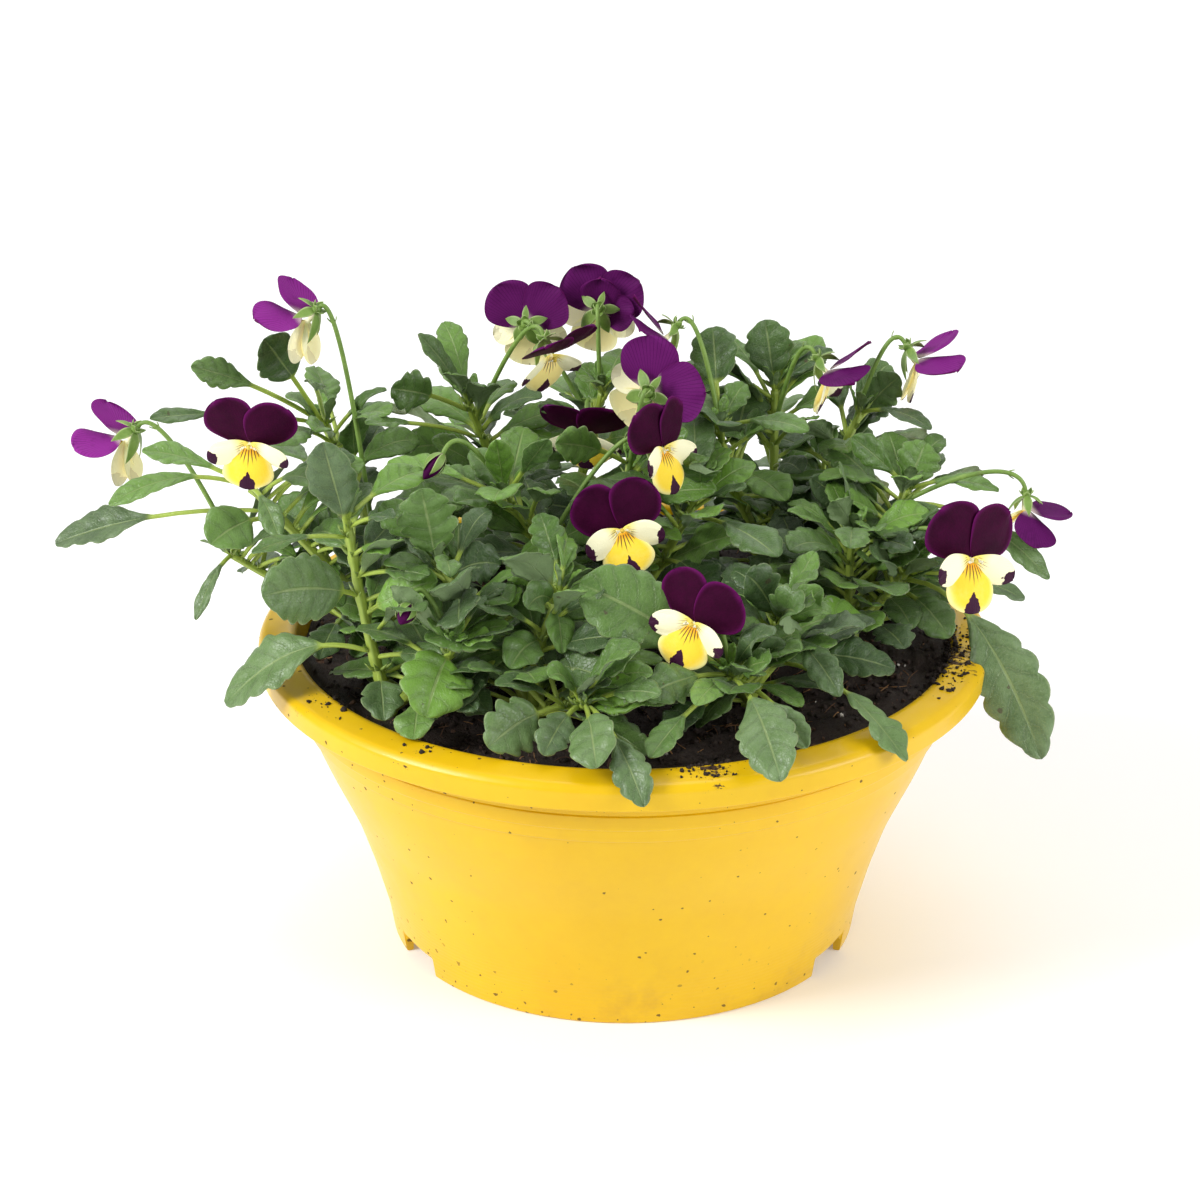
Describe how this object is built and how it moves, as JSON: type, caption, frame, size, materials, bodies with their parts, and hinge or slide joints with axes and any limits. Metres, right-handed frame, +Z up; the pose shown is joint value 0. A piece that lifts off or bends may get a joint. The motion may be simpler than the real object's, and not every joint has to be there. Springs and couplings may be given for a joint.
{
  "type": "potted viola planter",
  "caption": "Round flared plastic bowl planter filled with potting soil and densely planted with flowering violas that rest in it.",
  "frame": {"origin": "centre of the bowl's base, on the surface that it stands on", "axes": "+Z up, -Y towards the front of the planting, +X to its right, along its widest spread of leaves"},
  "size_m": [0.3725, 0.281, 0.2448],
  "materials": {
    "bowl_plastic": "satin",
    "potting_mix": "matte",
    "foliage": "matte",
    "flower_stalk": "matte",
    "purple_petals": "matte",
    "cream_petals": "matte",
    "flower_bud": "matte"
  },
  "bodies": {
    "root": {"planter_bowl": "bowl_plastic", "potting_soil": "potting_mix", "plant_left": "foliage", "plant_front_left": "foliage", "plant_front": "foliage", "plant_front_right": "foliage", "plant_centre": "foliage", "plant_right": "foliage", "plant_back": "foliage", "plant_back_right": "foliage", "flower_01_stalk": "flower_stalk", "flower_01_upper_petals": "purple_petals", "flower_01_lower_petals": "cream_petals", "flower_02_stalk": "flower_stalk", "flower_02_upper_petals": "purple_petals", "flower_02_lower_petals": "cream_petals", "flower_03_stalk": "flower_stalk", "flower_03_upper_petals": "purple_petals", "flower_03_lower_petals": "cream_petals", "flower_04_stalk": "flower_stalk", "flower_04_upper_petals": "purple_petals", "flower_04_lower_petals": "cream_petals", "flower_05_stalk": "flower_stalk", "flower_05_upper_petals": "purple_petals", "flower_05_lower_petals": "cream_petals", "flower_06_stalk": "flower_stalk", "flower_06_upper_petals": "purple_petals", "flower_06_lower_petals": "cream_petals", "flower_07_stalk": "flower_stalk", "flower_07_upper_petals": "purple_petals", "flower_07_lower_petals": "cream_petals", "flower_08_stalk": "flower_stalk", "flower_08_upper_petals": "purple_petals", "flower_08_lower_petals": "cream_petals", "flower_09_stalk": "flower_stalk", "flower_09_upper_petals": "purple_petals", "flower_09_lower_petals": "cream_petals", "flower_10_stalk": "flower_stalk", "flower_10_upper_petals": "purple_petals", "flower_10_lower_petals": "cream_petals", "flower_11_stalk": "flower_stalk", "flower_11_upper_petals": "purple_petals", "flower_11_lower_petals": "cream_petals", "flower_12_stalk": "flower_stalk", "flower_12_upper_petals": "purple_petals", "flower_12_lower_petals": "cream_petals", "flower_13_stalk": "flower_stalk", "flower_13_upper_petals": "purple_petals", "flower_13_lower_petals": "cream_petals", "flower_14_stalk": "flower_stalk", "flower_14_upper_petals": "purple_petals", "flower_14_lower_petals": "cream_petals", "flower_15_stalk": "flower_stalk", "flower_15_upper_petals": "purple_petals", "flower_15_lower_petals": "cream_petals", "flower_16_stalk": "flower_stalk", "flower_16_upper_petals": "purple_petals", "flower_16_lower_petals": "cream_petals", "bud_1": "flower_bud", "bud_2": "flower_bud"}
  },
  "joints": []
}
